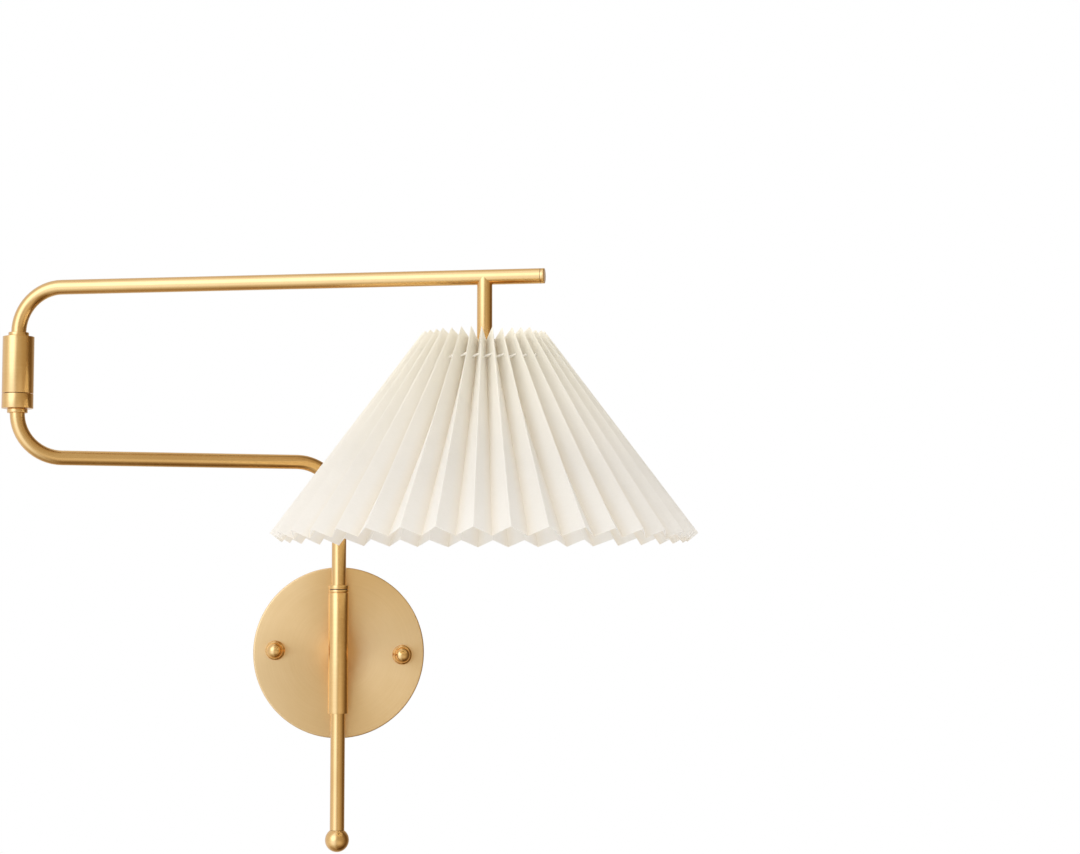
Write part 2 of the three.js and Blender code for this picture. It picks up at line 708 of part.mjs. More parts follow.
function lampHead() {
  const head = new THREE.Group();
  head.position.set(STEM_X, 0, UPPER_ARM_Z);
  head.add(
    piece("shade_stem", shadeStem(), BRASS),
    piece("stem_lead", stemLead(), CLEAR_LEAD),
    piece("socket_cap", socketCap(), BRASS),
    piece("lampholder", lampholder(), WHITE_PLASTIC),
    piece("lampholder_shell", ring(13.5, 14.1, SHELL_FOOT, SHELL_TOP), BRASS),
    piece("lampholder_contact", ring(0.8, 3.4, SHELL_TOP - 0.2, SHELL_TOP + 1.7, SMALL_SIDES), BRASS),
    piece("shade_carrier", shadeCarrier(), BRASS),
    piece("shade_ring_nut", shadeRingNut(), WHITE_PLASTIC),
    piece("bulb_base", bulbBase(), PLATED_STEEL),
    piece("bulb_glass", bulbGlass(), OPAL_GLASS),
    piece("bulb_core", rod(4, GLOBE_Z + 8, NECK_TOP, SMALL_SIDES), WHITE_PLASTIC),
    piece("pleated_shade", foldedSheet(), PLEATED_PAPER),
    piece("shade_thread", threadRing(), THREAD),
  );
  return head;
}

function upperArm() {
  const group = new THREE.Group();
  group.rotation.z = rad(180 - REST_FOLD);
  group.add(
    piece("elbow_housing", elbowHousing(), BRASS),
    piece("elbow_top_plug", elbowPlug(), BRASS),
    piece("elbow_upper_collar", upperCollar(), BRASS),
    piece("upper_tube", upperTube(), BRASS),
    piece("upper_lead", upperLead(), CLEAR_LEAD),
    piece("arm_end_cap", armEndCap(), BRASS),
    lampHead(),
  );
  return group;
}

// ---------------------------------------------------------------- assembly

const sconce = new THREE.Group();
const lower = lowerArm();
lower.elbow.add(upperArm());
sconce.add(wallMount(), lower.group);

export default sconce;
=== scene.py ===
import json
import math
import random

import bmesh
import bpy
from mathutils import Matrix, Vector


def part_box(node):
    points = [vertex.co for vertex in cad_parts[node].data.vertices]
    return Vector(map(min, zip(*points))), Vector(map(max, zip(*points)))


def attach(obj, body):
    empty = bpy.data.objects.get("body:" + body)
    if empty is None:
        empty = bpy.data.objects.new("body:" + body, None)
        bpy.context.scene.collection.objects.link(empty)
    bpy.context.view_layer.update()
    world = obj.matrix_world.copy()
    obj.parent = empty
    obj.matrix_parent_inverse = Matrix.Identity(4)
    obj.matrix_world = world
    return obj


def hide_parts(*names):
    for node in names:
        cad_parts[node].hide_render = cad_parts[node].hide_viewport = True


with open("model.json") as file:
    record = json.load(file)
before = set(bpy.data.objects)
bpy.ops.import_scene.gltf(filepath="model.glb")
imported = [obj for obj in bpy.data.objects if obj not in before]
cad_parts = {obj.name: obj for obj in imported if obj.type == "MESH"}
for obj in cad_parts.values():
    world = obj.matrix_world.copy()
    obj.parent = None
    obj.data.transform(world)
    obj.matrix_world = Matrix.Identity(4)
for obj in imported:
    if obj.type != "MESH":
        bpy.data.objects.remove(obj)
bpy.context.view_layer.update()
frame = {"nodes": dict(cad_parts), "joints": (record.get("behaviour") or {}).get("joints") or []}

MM = 0.001
X, Y, Z = 0, 1, 2


# ---------------------------------------------------------------- dimensions in mm, most of them the frame's

def span(node, axis):
    """Lowest and highest place of a CAD node along an axis."""
    low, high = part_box(node)
    return low[axis] / MM, high[axis] / MM


def axis_of(joint_name):
    """The point of a joint's axis at z = 0, in metres."""
    joint = next(j for j in frame["joints"] if j["name"] == joint_name)
    return Vector((joint["pos_m"][X], joint["pos_m"][Y], 0))


def middle(node):
    low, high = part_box(node)
    return (low + high) / 2


EDGE = 0.35  # how far a turned edge is eased
SEAT = 0.2  # room between a tube and a ring round it
OFF_CANOPY = 0.1  # room between the canopy's face and what stands on it

CAP_LOW, CAP_HIGH = span("arm_end_cap", Z)
TUBE_R = (CAP_HIGH - CAP_LOW) / 2
BEND_R = 30.0  # centre line of the bends in the arms
UPPER_ARM_Z = (CAP_LOW + CAP_HIGH) / 2
LOWER_ARM_Z = 132.5  # centre line of the lower arm
TUBE_WALL = 1.5
TUBE_OVERRUN = 37.0  # stem axis to the upper tube's end

CANOPY_R = span("canopy", X)[1]
CANOPY_DEPTH = -span("canopy", Y)[0]
POST_OUT = -axis_of("wall_swivel").y / MM  # wall to swivel post
SLEEVE_LOW, SLEEVE_HIGH = span("swivel_sleeve", Z)
SLEEVE_R = span("swivel_sleeve", X)[1]
BALL_LOW = span("ball_finial", Z)[0]
BALL_R = span("ball_finial", X)[1]
POST_FOOT = span("lower_tube", Z)[0]

ELBOW_R = 10.5
SLIT = 0.22  # how far two turning faces rise to each other at their rims, which leaves a fine line
HOUSING_LOW, HOUSING_HIGH = span("elbow_housing", Z)
RING_LOW, RING_HIGH = span("elbow_ring", Z)

post = axis_of("wall_swivel")
elbow = axis_of("elbow_swivel")
shade_axis = middle("lampholder") * Vector((1, 1, 0))
LOWER_ARM = (elbow - post).length / MM
STEM_OUT = (shade_axis - elbow).length / MM
UPPER_ARM = STEM_OUT + TUBE_OVERRUN


# ---------------------------------------------------------------- local frames, in metres

def standing(origin, along=Vector((1, 0, 0)), lift=0.0):
    """A frame with Z up and X along a level direction."""
    x = Vector((along.x, along.y, 0)).normalized()
    z = Vector((0, 0, 1))
    place = Matrix((x, z.cross(x), z)).transposed().to_4x4()
    place.translation = origin + Vector((0, 0, lift * MM))
    return place


def off_wall(x=0.0, z=0.0):
    """A frame whose Z runs out of the wall from (x, z) in metres, with X to the right and Y up."""
    place = Matrix(((1, 0, 0), (0, 0, 1), (0, -1, 0))).transposed().to_4x4()
    place.translation = Vector((x, 0, z))
    return place


POST_FRAME = standing(post, elbow - post)
UPPER_FRAME = standing(elbow, shade_axis - elbow)
HEAD_FRAME = standing(shade_axis, shade_axis - elbow, UPPER_ARM_Z)


# ---------------------------------------------------------------- outlines

def arc(r, z, radius, start, end, steps=12):
    """Points on an arc about (r, z), between two angles in degrees. They are not eased again."""
    turns = [math.radians(start + (end - start) * i / steps) for i in range(steps + 1)]
    return [(r + radius * math.cos(t), z + radius * math.sin(t)) for t in turns]


NEARLY_STRAIGHT = math.radians(160)
ON_AXIS = 1e-6  # a radius or length in mm that counts as none


def eased_corner(before, here, after, radius, steps=3):
    """A corner as a small round, or the corner itself where the outline hardly turns."""
    back, on = before - here, after - here
    if min(back.length, on.length) < ON_AXIS:
        return [here]
    back_length, on_length = back.length, on.length
    back.normalize()
    on.normalize()
    opening = back.angle(on)
    if opening > NEARLY_STRAIGHT:
        return [here]
    longest = 0.4 * min(back_length, on_length)
    reach = min(radius / math.tan(opening / 2), longest)
    round_r = reach * math.tan(opening / 2)
    centre = here + (back + on).normalized() * (round_r / math.sin(opening / 2))
    start, end = here + back * reach - centre, here + on * reach - centre
    swing = start.angle(end)
    points = []
    for i in range(steps + 1):
        t = i / steps
        mixed = start * math.sin((1 - t) * swing) + end * math.sin(t * swing)
        points.append(centre + mixed / math.sin(swing))
    return points


def eased(outline, edge, closed):
    """The outline with its corners eased. Points on the axis and open ends stay as they are."""
    points = [Vector(p) for p in outline]
    result = []
    for i, here in enumerate(points):
        at_end = not closed and i in (0, len(points) - 1)
        if at_end or here.x < ON_AXIS:
            result.append(here)
            continue
        result += eased_corner(points[i - 1], here, points[(i + 1) % len(points)], edge)
    return result


# ---------------------------------------------------------------- meshes

def new_piece(mesh, place, body, material):
    """A piece in place of the CAD node that its mesh is named after, such as canopy_fine for canopy.

    The mesh is turned to the row's axes, and the piece's origin is the place's origin.
    """
    mesh.transform(place.to_3x3().to_4x4())
    piece = bpy.data.objects.new(mesh.name, mesh)
    bpy.context.scene.collection.objects.link(piece)
    piece.location = place.translation
    piece.data.materials.append(material)
    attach(piece, body)
    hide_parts(mesh.name.removesuffix("_fine"))
    return piece


def finished_mesh(name, mesh_data, grain, crisp_angle=32):
    """A mesh from bmesh data, shaded smooth but for its crisp edges, with the grain's directions stored."""
    bmesh.ops.recalc_face_normals(mesh_data, faces=mesh_data.faces)
    mesh = bpy.data.meshes.new(name)
    mesh_data.to_mesh(mesh)
    mesh_data.free()
    mesh.shade_smooth()
    mesh.set_sharp_from_angle(angle=math.radians(crisp_angle))
    stored = mesh.attributes.new("grain", "FLOAT_VECTOR", "POINT")
    for entry, value in zip(stored.data, grain):
        entry.vector = value
    return mesh


def turned_mesh(name, outline, closed=True, sides=96, edge=EDGE):
    """A mesh turned about Z from (radius, height) points in mm.

    The grain is stored as the cosine and sine of the turn and the distance along the outline in mm.
    """
    points = eased(outline, edge, closed)
    made = bmesh.new()
    grain, rings = [], []
    travelled = 0.0
    for i, point in enumerate(points):
        if i:
            travelled += (point - points[i - 1]).length
        if point.x < ON_AXIS:
            rings.append([made.verts.new((0, 0, point.y * MM))])
            grain.append((0, 0, travelled))
            continue
        loop = []
        for k in range(sides):
            turn = 2 * math.pi * k / sides
            c, s = math.cos(turn), math.sin(turn)
            loop.append(made.verts.new((point.x * c * MM, point.x * s * MM, point.y * MM)))
            grain.append((c, s, travelled))
        rings.append(loop)
    pairs = list(zip(rings, rings[1:]))
    if closed and len(rings[0]) > 1 and len(rings[-1]) > 1:
        pairs.append((rings[-1], rings[0]))
    for lower, upper in pairs:
        join_rings(made, lower, upper, sides)
    return finished_mesh(name, made, grain)


def join_rings(made, lower, upper, sides):
    """The faces between two rings, either of which may be a single point on the axis."""
    if len(lower) == 1 and len(upper) == 1:
        return
    for k in range(sides):
        j = (k + 1) % sides
        if len(lower) == 1:
            made.faces.new((lower[0], upper[k], upper[j]))
        elif len(upper) == 1:
            made.faces.new((lower[k], lower[j], upper[0]))
        else:
            made.faces.new((lower[k], lower[j], upper[j], upper[k]))


def cope(mesh, end, foot_of):
    """Moves an end's vertices, those at height end in mm, to the height that foot_of(x, y) gives in mm."""
    for vertex in mesh.vertices:
        if abs(vertex.co.z / MM - end) < 1e-3:
            vertex.co.z = foot_of(vertex.co.x / MM, vertex.co.y / MM) * MM


def path_stations(corners, bend, steps=16):
    """Points and directions along straight runs with round bends, in the plane Y = 0 of the frame."""
    corners = [Vector(c) for c in corners]
    ways = [(b - a).normalized() for a, b in zip(corners, corners[1:])]
    stations = [(corners[0], ways[0])]
    for corner, into, out in zip(corners[1:], ways, ways[1:]):
        turn = into.angle(out)
        side = (out - into * out.dot(into)).normalized()
        start = corner - into * bend * math.tan(turn / 2)
        for k in range(steps + 1):
            t = turn * k / steps
            point = start + into * bend * math.sin(t) + side * bend * (1 - math.cos(t))
            stations.append((point, into * math.cos(t) + side * math.sin(t)))
    stations.append((corners[-1], ways[-1]))
    return stations


def split_runs(stations, longest=6.0):
    """The stations again, with more of them along the straight runs."""
    result = [stations[0]]
    for (a, way_a), (b, way_b) in zip(stations, stations[1:]):
        pieces = max(1, math.ceil((b - a).length / longest))
        for i in range(1, pieces + 1):
            t = i / pieces
            result.append((a.lerp(b, t), way_a.lerp(way_b, t).normalized()))
    return result


def path_ring(made, grain, point, across, up, radius, sides, travelled):
    """A ring of vertices round a point of a path, with the grain that belongs to each."""
    ring = []
    for k in range(sides):
        turn = 2 * math.pi * k / sides
        c, s = math.cos(turn), math.sin(turn)
        ring.append(made.verts.new((point + across * radius * c + up * radius * s) * MM))
        grain.append((c, s, travelled))
    return ring


def bent_tube_mesh(name, corners, sides=48):
    """An arm's tube along a bent path in the frame's XZ plane. Corners are (x, z) in mm."""
    stations = split_runs(path_stations([(x, 0, z) for x, z in corners], BEND_R))
    made = bmesh.new()
    grain, rings = [], []
    travelled = 0.0
    across = Vector((0, 1, 0))
    for i, (point, way) in enumerate(stations):
        if i:
            travelled += (point - stations[i - 1][0]).length
        rings.append(path_ring(made, grain, point, across, way.cross(across), TUBE_R, sides, travelled))
    for lower, upper in zip(rings, rings[1:]):
        join_rings(made, lower, upper, sides)
    return finished_mesh(name, made, grain)


# ---------------------------------------------------------------- material helpers

def fresh_material(name):
    """A node material with one Principled shader: (material, node tree, shader)."""
    material = bpy.data.materials.new(name)
    material.use_nodes = True
    tree = material.node_tree
    return material, tree, tree.nodes["Principled BSDF"]


def add_node(tree, kind, inputs=(), **settings):
    """A node with its inputs set to values or linked to sockets, and its own settings."""
    made = tree.nodes.new(kind)
    for key, value in settings.items():
        setattr(made, key, value)
    for key, value in dict(inputs).items():
        if isinstance(value, bpy.types.NodeSocket):
            tree.links.new(value, made.inputs[key])
        else:
            made.inputs[key].default_value = value
    return made


def object_place(tree):
    return add_node(tree, "ShaderNodeTexCoord").outputs["Object"]


def stored_grain(tree):
    """The grain that finished_mesh stored with the mesh."""
    return add_node(tree, "ShaderNodeAttribute", attribute_name="grain").outputs["Vector"]


def grain_place(tree, round_scale, along_scale):
    """The stored grain, stretched: around the piece, and along it per mm."""
    inputs = {0: stored_grain(tree), 1: (round_scale, round_scale, along_scale)}
    return add_node(tree, "ShaderNodeVectorMath", inputs, operation="MULTIPLY").outputs[0]


def noise(tree, place, scale, detail=3.0, roughness=0.5):
    inputs = {"Vector": place, "Scale": scale, "Detail": detail, "Roughness": roughness}
    return add_node(tree, "ShaderNodeTexNoise", inputs).outputs["Fac"]


def between(tree, value, low, high, from_low=0.3, from_high=0.7):
    """A value carried from its range onto low to high. The usual range is that of a noise."""
    inputs = {"Value": value, "From Min": from_low, "From Max": from_high, "To Min": low, "To Max": high}
    return add_node(tree, "ShaderNodeMapRange", inputs).outputs["Result"]


def blend_colours(tree, factor, first, second):
    """Two colours mixed by a factor. Each is three numbers or a socket."""
    first, second = (c if isinstance(c, bpy.types.NodeSocket) else (*c, 1) for c in (first, second))
    inputs = {"Factor": factor, 6: first, 7: second}
    return add_node(tree, "ShaderNodeMix", inputs, data_type="RGBA").outputs[2]


def sum_of(tree, first, second):
    return add_node(tree, "ShaderNodeMath", {0: first, 1: second}, operation="ADD").outputs[0]


def product_of(tree, first, second):
    return add_node(tree, "ShaderNodeMath", {0: first, 1: second}, operation="MULTIPLY").outputs[0]


def add_bump(tree, shader, value, depth, strength=1.0):
    """Bump of a depth in metres, on top of any bump that the shader has already."""
    normal = shader.inputs["Normal"]
    inputs = {"Height": value, "Distance": depth, "Strength": strength}
    if normal.is_linked:
        inputs["Normal"] = normal.links[0].from_socket
    bump = add_node(tree, "ShaderNodeBump", inputs)
    tree.links.new(bump.outputs["Normal"], normal)


# ---------------------------------------------------------------- materials

def brass(name, around, along, roughness, light, deep):
    """Satin brushed brass under a thin lacquer. around and along stretch the brush lines over the piece."""
    material, tree, shader = fresh_material(name)
    lines = noise(tree, grain_place(tree, around, along), 1.0, 4.0, 0.65)
    clouds = noise(tree, object_place(tree), 28.0, 3.0, 0.55)
    specks = noise(tree, object_place(tree), 260.0, 2.0, 0.6)
    tone = between(tree, sum_of(tree, lines, clouds), 0.0, 1.0, 0.75, 1.25)
    tree.links.new(blend_colours(tree, tone, deep, light), shader.inputs["Base Color"])
    worn = product_of(tree, clouds, specks)
    rough = between(tree, worn, roughness - 0.03, roughness + 0.05, 0.15, 0.4)
    tree.links.new(rough, shader.inputs["Roughness"])
    shader.inputs["Metallic"].default_value = 1.0
    shader.inputs["Coat Weight"].default_value = 0.3
    shader.inputs["Coat Roughness"].default_value = 0.2
    add_bump(tree, shader, lines, 0.00001, 0.1)
    return material, tree, shader


TUBE_LIGHT, TUBE_DEEP = (0.88, 0.54, 0.185), (0.83, 0.49, 0.16)
PLATE_LIGHT, PLATE_DEEP = (0.91, 0.605, 0.255), (0.87, 0.565, 0.228)


def turned_brass():
    """Brush lines run round the piece."""
    return brass("turned_brass", 0.7, 1.5, 0.22, TUBE_LIGHT, TUBE_DEEP)[0]


def drawn_brass():
    """Brush lines run along a tube."""
    return brass("drawn_brass", 7.0, 0.03, 0.22, TUBE_LIGHT, TUBE_DEEP)[0]


def spun_brass():
    """The canopy's face, brushed in circles about the line out of the wall."""
    material, tree, shader = brass("spun_brass", 1.0, 1.6, 0.34, PLATE_LIGHT, PLATE_DEEP)
    shader.inputs["Anisotropic"].default_value = 0.8
    shader.inputs["Anisotropic Rotation"].default_value = 0.25
    tangent = add_node(tree, "ShaderNodeTangent", direction_type="RADIAL", axis="Y")
    tree.links.new(tangent.outputs["Tangent"], shader.inputs["Tangent"])
    return material


def contact_brass():
    return brass("contact_brass", 8.0, 3.0, 0.35, (0.86, 0.66, 0.33), (0.74, 0.52, 0.24))[0]


def moulded(name, light, deep, roughness, grain_scale=1400.0, grain_depth=0.00002):
    """Moulded plastic: a fine spark-eroded grain and slightly uneven gloss."""
    material, tree, shader = fresh_material(name)
    clouds = noise(tree, object_place(tree), 60.0, 3.0)
    fine = noise(tree, object_place(tree), grain_scale, 2.0)
    colour = blend_colours(tree, between(tree, clouds, 0, 1), deep, light)
    tree.links.new(colour, shader.inputs["Base Color"])
    tree.links.new(between(tree, fine, roughness - 0.06, roughness + 0.06), shader.inputs["Roughness"])
    add_bump(tree, shader, fine, grain_depth, 0.5)
    return material


def white_plastic():
    return moulded("white_plastic", (0.84, 0.82, 0.76), (0.78, 0.76, 0.69), 0.38)


def black_nylon():
    return moulded("black_nylon", (0.030, 0.026, 0.022), (0.018, 0.016, 0.014), 0.5)


def insulation(name, light, deep):
    return moulded(name, light, deep, 0.3, 500.0, 0.00001)


def plated_steel():
    """Zinc plate: cool grey with faint crystals and a passivated tint."""
    material, tree, shader = fresh_material("plated_steel")
    crystals = add_node(tree, "ShaderNodeTexVoronoi", {"Vector": object_place(tree), "Scale": 420.0})
    clouds = noise(tree, object_place(tree), 90.0, 3.0)
    tone = between(tree, sum_of(tree, crystals.outputs["Distance"], clouds), 0.0, 1.0, 0.4, 1.2)
    colour = blend_colours(tree, tone, (0.50, 0.51, 0.53), (0.66, 0.66, 0.65))
    tree.links.new(colour, shader.inputs["Base Color"])
    tree.links.new(between(tree, clouds, 0.32, 0.46), shader.inputs["Roughness"])
    shader.inputs["Metallic"].default_value = 1.0
    add_bump(tree, shader, clouds, 0.00002, 0.4)
    return material


def opal_glass():
    """Opal glass: white, a little translucent, with a smooth gloss."""
    material, tree, shader = fresh_material("opal_glass")
    clouds = noise(tree, object_place(tree), 45.0, 2.0)
    colour = blend_colours(tree, between(tree, clouds, 0, 1), (0.86, 0.84, 0.79), (0.90, 0.885, 0.85))
    tree.links.new(colour, shader.inputs["Base Color"])
    tree.links.new(between(tree, clouds, 0.08, 0.16), shader.inputs["Roughness"])
    shader.inputs["Coat Weight"].default_value = 0.3
    shader.inputs["Coat Roughness"].default_value = 0.05
    add_bump(tree, shader, clouds, 0.00005, 0.2)
    return material


def pleated_paper():
    """White laminated paper: matt, fibrous and translucent, paler near the top by painted light and darker
    and warmer in the valleys by painted shade.
    """
    material, tree, shader = fresh_material("pleated_paper")
    place = object_place(tree)
    panel = add_node(tree, "ShaderNodeSeparateXYZ", {0: stored_grain(tree)}).outputs
    # painted light: the paper's colour is paler and creamier over the top 110 mm of the panels
    painted_top_light = between(tree, panel["Z"], 1.0, 0.0, 0.0, 110.0)
    # painted shade: the colour turns darker and warmer towards each valley fold
    painted_valley_shade = between(tree, panel["Y"], 0.0, 0.55, 0.5, 1.0)
    clouds = noise(tree, place, 18.0, 4.0, 0.6)
    fibres = noise(tree, grain_place(tree, 0.35, 0.9), 1.0, 5.0, 0.7)
    fine = noise(tree, place, 1100.0, 3.0, 0.6)
    tone = between(tree, sum_of(tree, clouds, fibres), 0.0, 1.0, 0.75, 1.25)
    colour = blend_colours(tree, tone, (0.9, 0.885, 0.85), (0.93, 0.915, 0.885))
    colour = blend_colours(tree, painted_top_light, colour, (0.99, 0.972, 0.915))
    colour = blend_colours(tree, painted_valley_shade, colour, (0.9, 0.845, 0.75))
    tree.links.new(colour, shader.inputs["Base Color"])
    tree.links.new(between(tree, fine, 0.72, 0.9), shader.inputs["Roughness"])
    shader.inputs["Specular IOR Level"].default_value = 0.25
    add_bump(tree, shader, fibres, 0.00002, 0.3)
    add_bump(tree, shader, fine, 0.00001, 0.25)
    through = add_node(tree, "ShaderNodeBsdfTranslucent", {"Color": colour})
    inputs = {"Fac": 0.58, 1: shader.outputs[0], 2: through.outputs[0]}
    mixed = add_node(tree, "ShaderNodeMixShader", inputs)
    tree.links.new(mixed.outputs[0], tree.nodes["Material Output"].inputs["Surface"])
    return material


def cotton_thread():
    """Twisted cotton: slanting plies and loose fibre."""
    material, tree, shader = fresh_material("cotton_thread")
    place = object_place(tree)
    inputs = {"Vector": place, "Scale": 420.0, "Distortion": 2.0}
    plies = add_node(tree, "ShaderNodeTexWave", inputs, bands_direction="DIAGONAL")
    fuzz = noise(tree, place, 2500.0, 3.0)
    tone = product_of(tree, plies.outputs["Fac"], fuzz)
    colour = blend_colours(tree, tone, (0.86, 0.82, 0.72), (0.95, 0.93, 0.87))
    tree.links.new(colour, shader.inputs["Base Color"])
    tree.links.new(between(tree, fuzz, 0.75, 0.95), shader.inputs["Roughness"])
    shader.inputs["Sheen Weight"].default_value = 0.3
    add_bump(tree, shader, plies.outputs["Fac"], 0.0001, 0.6)
    return material


TURNED_BRASS = turned_brass()
DRAWN_BRASS = drawn_brass()
SPUN_BRASS = spun_brass()
CONTACT_BRASS = contact_brass()
WHITE_PLASTIC = white_plastic()
BLACK_NYLON = black_nylon()
PLATED_STEEL = plated_steel()
OPAL_GLASS = opal_glass()
PAPER = pleated_paper()
THREAD = cotton_thread()
BLACK_WIRE = insulation("black_wire", (0.022, 0.022, 0.024), (0.014, 0.014, 0.015))
WHITE_WIRE = insulation("white_wire", (0.80, 0.79, 0.75), (0.72, 0.71, 0.66))
GREEN_WIRE = insulation("green_wire", (0.055, 0.30, 0.085), (0.035, 0.22, 0.06))
CLEAR_LEAD = insulation("clear_lead", (0.62, 0.47, 0.24), (0.50, 0.33, 0.14))


# ---------------------------------------------------------------- wall mount

def turned_brass_piece(name, outline, place, body, closed=True, sides=96, edge=EDGE):
    """A piece turned from brass, with brush lines round it."""
    mesh = turned_mesh(name, outline, closed, sides, edge)
    new_piece(mesh, place, body, TURNED_BRASS)


def canopy():
    """A flat spun cup with a rounded rim. Heights run out of the wall."""
    round_r, wall, hole_r = 1.1, 1.0, 5.4
    outline = [
        (CANOPY_R, 0),
        *arc(CANOPY_R - round_r, CANOPY_DEPTH - round_r, round_r, 0, 90, 10),
        (hole_r, CANOPY_DEPTH),
        (hole_r, CANOPY_DEPTH - wall),
        (CANOPY_R - wall, CANOPY_DEPTH - wall),
        (CANOPY_R - wall, 0),
    ]
    mesh = turned_mesh("canopy_fine", outline, sides=192, edge=0.2)
    new_piece(mesh, off_wall(), "wall_mount", SPUN_BRASS)


def cap_nut(side):
    """A ball on a short skirt, screwed onto its stud in front of the canopy."""
    stud = middle("bracket_stud_" + side)
    back = CANOPY_DEPTH + OFF_CANOPY
    bore_r, skirt_r, neck_r, ball_r = 2.3, 6.8, 4.9, 5.6
    ball_out = CANOPY_DEPTH + 7.9
    outline = [
        (bore_r, back),
        (skirt_r, back),
        (skirt_r, back + 2.6),
        (skirt_r - 0.9, back + 3.6),
        (neck_r, back + 4.3),
        *arc(0, ball_out, ball_r, -29, 90, 22),
    ]
    place = off_wall(stud.x, stud.z)
    turned_brass_piece(f"cap_nut_{side}_fine", outline, place, "wall_mount", closed=False, sides=72)


def standoff():
    """The spacer between the canopy and the sleeve. Its front end is coped to the sleeve."""
    flange_r, body_r, shank_r, bore_r = 6.6, 5.6, 4.9, 3.0
    shank_end = CANOPY_DEPTH - 9.5
    back = CANOPY_DEPTH + OFF_CANOPY
    front = POST_OUT - 4.0
    outline = [
        (bore_r, shank_end),
        (shank_r, shank_end),
        (shank_r, back),
        (flange_r, back),
        (flange_r, back + 2.2),
        (body_r, back + 2.8),
        (body_r, front),
    ]
    mesh = turned_mesh("standoff_fine", outline, closed=False, edge=0.25)
    cope(mesh, front, lambda x, y: POST_OUT - math.sqrt(SLEEVE_R ** 2 - x ** 2) + 0.1)
    new_piece(mesh, off_wall(), "wall_mount", TURNED_BRASS)


def swivel_sleeve():
    """A plain sleeve with a fine groove near its top."""
    groove, groove_floor_r, bore_r = SLEEVE_HIGH - 1.8, SLEEVE_R - 0.6, 6.3
    outline = [
        (bore_r, SLEEVE_LOW),
        (SLEEVE_R, SLEEVE_LOW),
        (SLEEVE_R, groove - 0.3),
        (groove_floor_r, groove - 0.2),
        (groove_floor_r, groove + 0.2),
        (SLEEVE_R, groove + 0.3),
        (SLEEVE_R, SLEEVE_HIGH + SLIT),
        (bore_r, SLEEVE_HIGH),
    ]
    turned_brass_piece("swivel_sleeve_fine", outline, standing(post), "wall_mount", edge=0.15)


def stop_collar():
    """A ring on the post, whose skirt comes down round the washer and leaves a fine line above the sleeve."""
    low, high = span("stop_collar", Z)
    inner, skirt_r, skirt_foot = TUBE_R + SEAT, SLEEVE_R - 0.7, SLEEVE_HIGH + SLIT + 0.4
    outline = [(inner, low), (skirt_r, low), (skirt_r, skirt_foot), (SLEEVE_R, skirt_foot)]
    outline += [(SLEEVE_R, high), (inner, high)]
    turned_brass_piece("stop_collar_fine", outline, standing(post), "lower_arm", edge=0.15)


# ---------------------------------------------------------------- lower arm

def lower_tube():
    """The swivel post, the lower arm and its upturned end, which stands in the elbow's ring."""
    end = RING_LOW + 5.5
    corners = [(0, POST_FOOT), (0, LOWER_ARM_Z), (LOWER_ARM, LOWER_ARM_Z), (LOWER_ARM, end)]
    mesh = bent_tube_mesh("lower_tube_fine", corners)
    new_piece(mesh, POST_FRAME, "lower_arm", DRAWN_BRASS)


def ball_finial():
    """A ball that the post's foot stands in."""
    centre = BALL_LOW + BALL_R
    seat = math.degrees(math.acos((TUBE_R + SEAT) / BALL_R))
    outline = [*arc(0, centre, BALL_R, -90, seat, 40), (TUBE_R - 0.5, POST_FOOT + 0.4)]
    turned_brass_piece("ball_finial_fine", outline, standing(post), "lower_arm", closed=False)


def elbow_collar(name, body):
    """A ring round a tube where it goes into the elbow."""
    low, high = span(name, Z)
    inner, outer = TUBE_R + SEAT, 6.8
    outline = [(inner, low), (outer, low), (outer, high), (inner, high)]
    turned_brass_piece(name + "_fine", outline, standing(elbow), body)


def elbow_ring():
    """The elbow's lower half: a seat for the tube's end under a web that is bored for the nipple."""
    web, bore_r = RING_LOW + 6, 4.2
    inner = TUBE_R + SEAT
    outline = [
        (inner, RING_LOW),
        (ELBOW_R, RING_LOW),
        (ELBOW_R, RING_HIGH + SLIT),
        (bore_r, RING_HIGH),
        (bore_r, web),
        (inner, web),
    ]
    turned_brass_piece("elbow_ring_fine", outline, standing(elbow), "lower_arm", edge=0.2)


def elbow_housing():
    """The elbow's upper half: a cup with a groove under its floor, which the stop pin runs in."""
    cup_floor, cup_r, bore_r = HOUSING_LOW + 3.2, 8.2, 4.3
    groove_in, groove_out, groove_top = 6.1, 8.7, HOUSING_LOW + 2.0
    outline = [
        (bore_r, HOUSING_LOW),
        (groove_in, HOUSING_LOW),
        (groove_in, groove_top),
        (groove_out, groove_top),
        (groove_out, HOUSING_LOW),
        (ELBOW_R, HOUSING_LOW - SLIT),
        (ELBOW_R, HOUSING_HIGH),
        (cup_r, HOUSING_HIGH),
        (cup_r, cup_floor),
        (bore_r, cup_floor),
    ]
    turned_brass_piece("elbow_housing_fine", outline, standing(elbow), "upper_arm", edge=0.2)


def elbow_top_plug():
    """A ring that closes the housing's cup round the tube."""
    low, high = span("elbow_top_plug", Z)
    inner, outer = TUBE_R + SEAT, 8.0
    outline = [(inner, low), (outer, low), (outer, high), (inner, high)]
    turned_brass_piece("elbow_top_plug_fine", outline, standing(elbow), "upper_arm")


# ---------------------------------------------------------------- upper arm and lamp head

def upper_tube():
    """The bend out of the elbow's housing and the straight upper arm."""
    start = HOUSING_HIGH - 7
    corners = [(0, start), (0, UPPER_ARM_Z), (UPPER_ARM, UPPER_ARM_Z)]
    mesh = bent_tube_mesh("upper_tube_fine", corners)
    new_piece(mesh, UPPER_FRAME, "upper_arm", DRAWN_BRASS)


